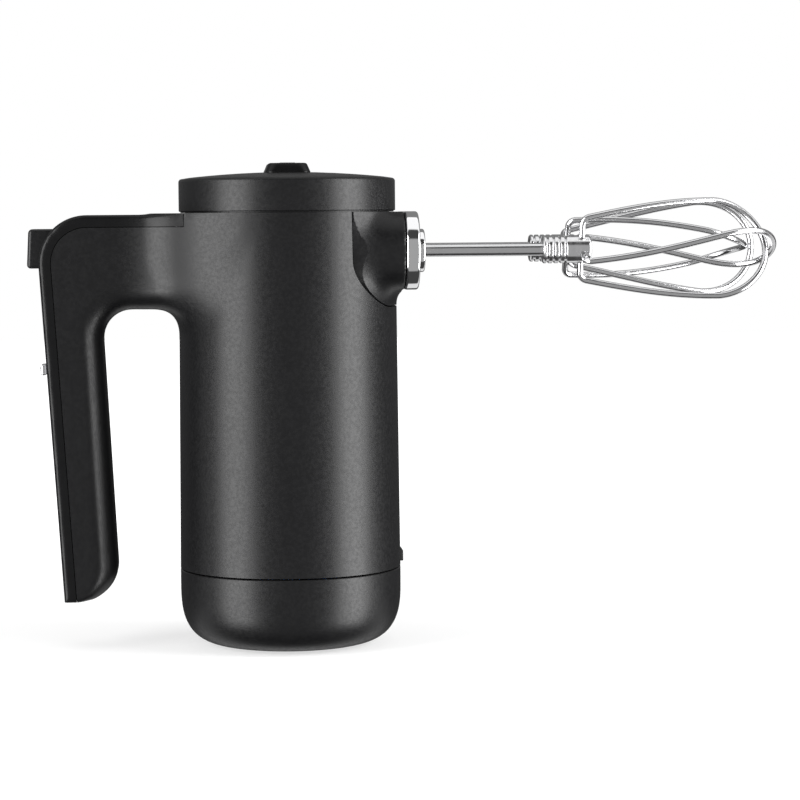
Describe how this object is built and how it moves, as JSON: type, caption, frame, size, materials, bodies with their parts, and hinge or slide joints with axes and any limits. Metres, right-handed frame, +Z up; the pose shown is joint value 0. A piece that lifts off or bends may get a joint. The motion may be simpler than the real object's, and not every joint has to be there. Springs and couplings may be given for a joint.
{
  "type": "hand mixer",
  "caption": "Cordless hand mixer: upright round housing with a free-ended handle, speed lever, eject button and wire whisks driven by a vertical motor through a worm",
  "frame": {"origin": "centre of the foot pad's lower face, on the surface the mixer stands on, on the housing's axis", "axes": "+Z up along the housing, +X along the whisks, handle at -X, +Y to the left whisk"},
  "size_m": [0.3247, 0.0968, 0.2111],
  "materials": {
    "body_black": "fine satin texture",
    "cover_black": "smooth satin gloss",
    "foot_rubber": "matt",
    "chrome": "polished",
    "steel": "turned",
    "white_nylon": "moulded",
    "sintered_bronze": "sintered",
    "frame_grey": "glass filled",
    "board_green": "lacquered",
    "cell_blue": null
  },
  "bodies": {
    "housing": {"badge_boss": "cover_black", "badge_plate": "chrome", "base_cap": "body_black", "base_screw_1": "steel", "base_screw_2": "steel", "base_screw_3": "steel", "battery_board": "board_green", "battery_cap": "frame_grey", "battery_cell_1": "cell_blue", "battery_cell_2": "cell_blue", "battery_cell_3": "cell_blue", "battery_tray": "frame_grey", "bush_front_left": "sintered_bronze", "bush_front_right": "sintered_bronze", "bush_rear_left": "sintered_bronze", "bush_rear_right": "sintered_bronze", "charge_board": "board_green", "charge_socket": "frame_grey", "control_board": "board_green", "control_panel": "cover_black", "eject_spring": "steel", "foot_pad": "foot_rubber", "gearbox_frame": "frame_grey", "handle_cover": "cover_black", "lid": "body_black", "main_housing": "body_black", "motor_can": "steel", "motor_end_cap": "white_nylon", "motor_magnet_left": "frame_grey", "motor_magnet_right": "frame_grey", "motor_mount": "white_nylon", "mount_screw_1": "steel", "mount_screw_2": "steel", "mount_screw_3": "steel", "nose_bezel": "chrome", "nose_panel": "body_black", "socket_plate": "chrome"},
    "motor_rotor": {"motor_shaft": "steel", "worm": "steel", "rotor_core": "steel"},
    "drive_left": {"spindle_left": "steel", "worm_wheel_left": "white_nylon"},
    "drive_right": {"spindle_right": "steel", "worm_wheel_right": "white_nylon"},
    "pin_left": {"push_pin_left": "steel"},
    "pin_right": {"push_pin_right": "steel"},
    "whisk_left": {"whisk_shaft_left": "chrome", "whisk_hub_left": "steel", "whisk_loop_a_left": "chrome", "whisk_loop_b_left": "chrome"},
    "whisk_right": {"whisk_shaft_right": "chrome", "whisk_hub_right": "steel", "whisk_loop_a_right": "chrome", "whisk_loop_b_right": "chrome"},
    "ejector": {"eject_button": "cover_black", "eject_pushrod": "steel", "ejector_yoke": "frame_grey"},
    "speed_control": {"speed_lever": "chrome", "speed_slider": "white_nylon"},
    "port_flap": {"charge_port_cover": "foot_rubber"}
  },
  "joints": [
    {"name": "motor_spin", "type": "hinge", "parent": "housing", "child": "motor_rotor", "pos_m": [0, 0, 0.12], "axis": [0, 0, 1], "continuous": true},
    {"name": "left_spindle_spin", "type": "hinge", "parent": "housing", "child": "drive_left", "pos_m": [0, 0.023, 0.1726], "axis": [1, 0, 0], "continuous": true},
    {"name": "right_spindle_spin", "type": "hinge", "parent": "housing", "child": "drive_right", "pos_m": [0, -0.023, 0.1726], "axis": [1, 0, 0], "continuous": true},
    {"name": "eject_press", "type": "slide", "parent": "housing", "child": "ejector", "axis": [1, 0, 0], "range_m": [0, 0.005], "stiffness_N_per_m": 500, "springref_m": -0.004, "deforming": ["eject_spring"]},
    {"name": "left_pin_push", "type": "slide", "parent": "drive_left", "child": "pin_left", "axis": [1, 0, 0], "range_m": [0, 0.005]},
    {"name": "right_pin_push", "type": "slide", "parent": "drive_right", "child": "pin_right", "axis": [1, 0, 0], "range_m": [0, 0.005]},
    {"name": "left_whisk_pull", "type": "slide", "parent": "pin_left", "child": "whisk_left", "axis": [1, 0, 0], "range_m": [0, 0.04]},
    {"name": "right_whisk_pull", "type": "slide", "parent": "pin_right", "child": "whisk_right", "axis": [1, 0, 0], "range_m": [0, 0.04]},
    {"name": "speed_slide", "type": "slide", "parent": "housing", "child": "speed_control", "axis": [-0.0614, 0, 0.9981], "range_m": [0, 0.028]},
    {"name": "port_flap_open", "type": "hinge", "parent": "housing", "child": "port_flap", "pos_m": [0.04887, 0, 0.036], "axis": [0, 1, 0], "range_deg": [0, 100]}
  ],
  "couplings": [
    {"joint": "left_spindle_spin", "follows": "motor_spin", "ratio": 0.083333},
    {"joint": "right_spindle_spin", "follows": "motor_spin", "ratio": -0.083333},
    {"joint": "left_pin_push", "follows": "eject_press", "ratio": 1},
    {"joint": "right_pin_push", "follows": "eject_press", "ratio": 1}
  ]
}
